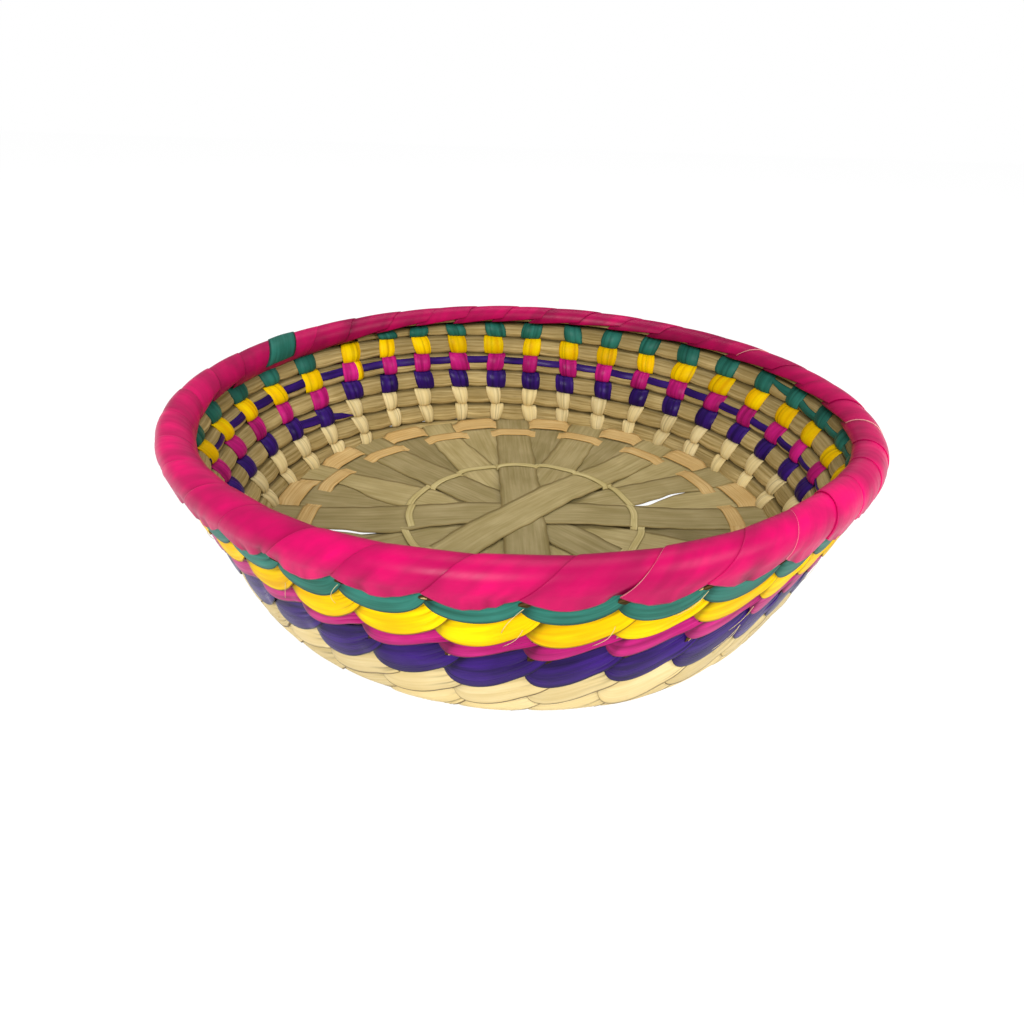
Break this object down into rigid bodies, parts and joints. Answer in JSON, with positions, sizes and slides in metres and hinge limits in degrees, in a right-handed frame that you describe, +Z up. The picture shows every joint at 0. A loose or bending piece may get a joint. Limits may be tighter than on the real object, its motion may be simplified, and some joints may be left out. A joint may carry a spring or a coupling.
{
  "type": "tortilla basket",
  "caption": "Shallow round coiled palm-leaf basket with a twined floor, flared wall in coloured rows and a thick wrapped rim.",
  "frame": {"origin": "middle of the underside, on the surface the basket stands on", "axes": "+Z up out of the bowl, -Y towards the viewer of the picture, +X to the right"},
  "size_m": [0.2621, 0.2492, 0.0599],
  "materials": {
    "dry_palm": "matt dried leaf, split and fibrous",
    "floor_palm": "matt dried leaf, flat strips",
    "pale_palm": "satin undyed leaf",
    "purple_palm": "satin dyed leaf",
    "pink_palm": "satin dyed leaf",
    "yellow_palm": "satin dyed leaf",
    "green_palm": "satin dyed leaf",
    "rim_palm": "glossy dyed leaf"
  },
  "bodies": {
    "root": {"core_turn_1": "dry_palm", "core_turn_2": "dry_palm", "core_turn_3": "dry_palm", "core_turn_4": "dry_palm", "core_turn_5": "dry_palm", "core_turn_6": "dry_palm", "rim_core": "dry_palm", "floor_strip_1": "floor_palm", "floor_strip_2": "floor_palm", "floor_strip_3": "floor_palm", "floor_strip_4": "floor_palm", "floor_strip_5": "floor_palm", "floor_strip_6": "floor_palm", "floor_strip_7": "floor_palm", "floor_strip_8": "floor_palm", "floor_filler_1": "floor_palm", "floor_filler_2": "floor_palm", "floor_filler_3": "floor_palm", "floor_filler_4": "floor_palm", "floor_filler_5": "floor_palm", "floor_filler_6": "floor_palm", "floor_filler_7": "floor_palm", "floor_filler_8": "floor_palm", "floor_filler_9": "floor_palm", "floor_filler_10": "floor_palm", "floor_filler_11": "floor_palm", "floor_filler_12": "floor_palm", "floor_filler_13": "floor_palm", "floor_filler_14": "floor_palm", "floor_filler_15": "floor_palm", "floor_filler_16": "floor_palm", "pale_wrap_1": "pale_palm", "pale_wrap_2": "pale_palm", "inner_twine_a": "pale_palm", "inner_twine_b": "pale_palm", "outer_twine_a": "pale_palm", "outer_twine_b": "pale_palm", "purple_wrap": "purple_palm", "pink_wrap": "pink_palm", "yellow_wrap": "yellow_palm", "green_wrap": "green_palm", "rim_wrap": "rim_palm"}
  },
  "joints": []
}
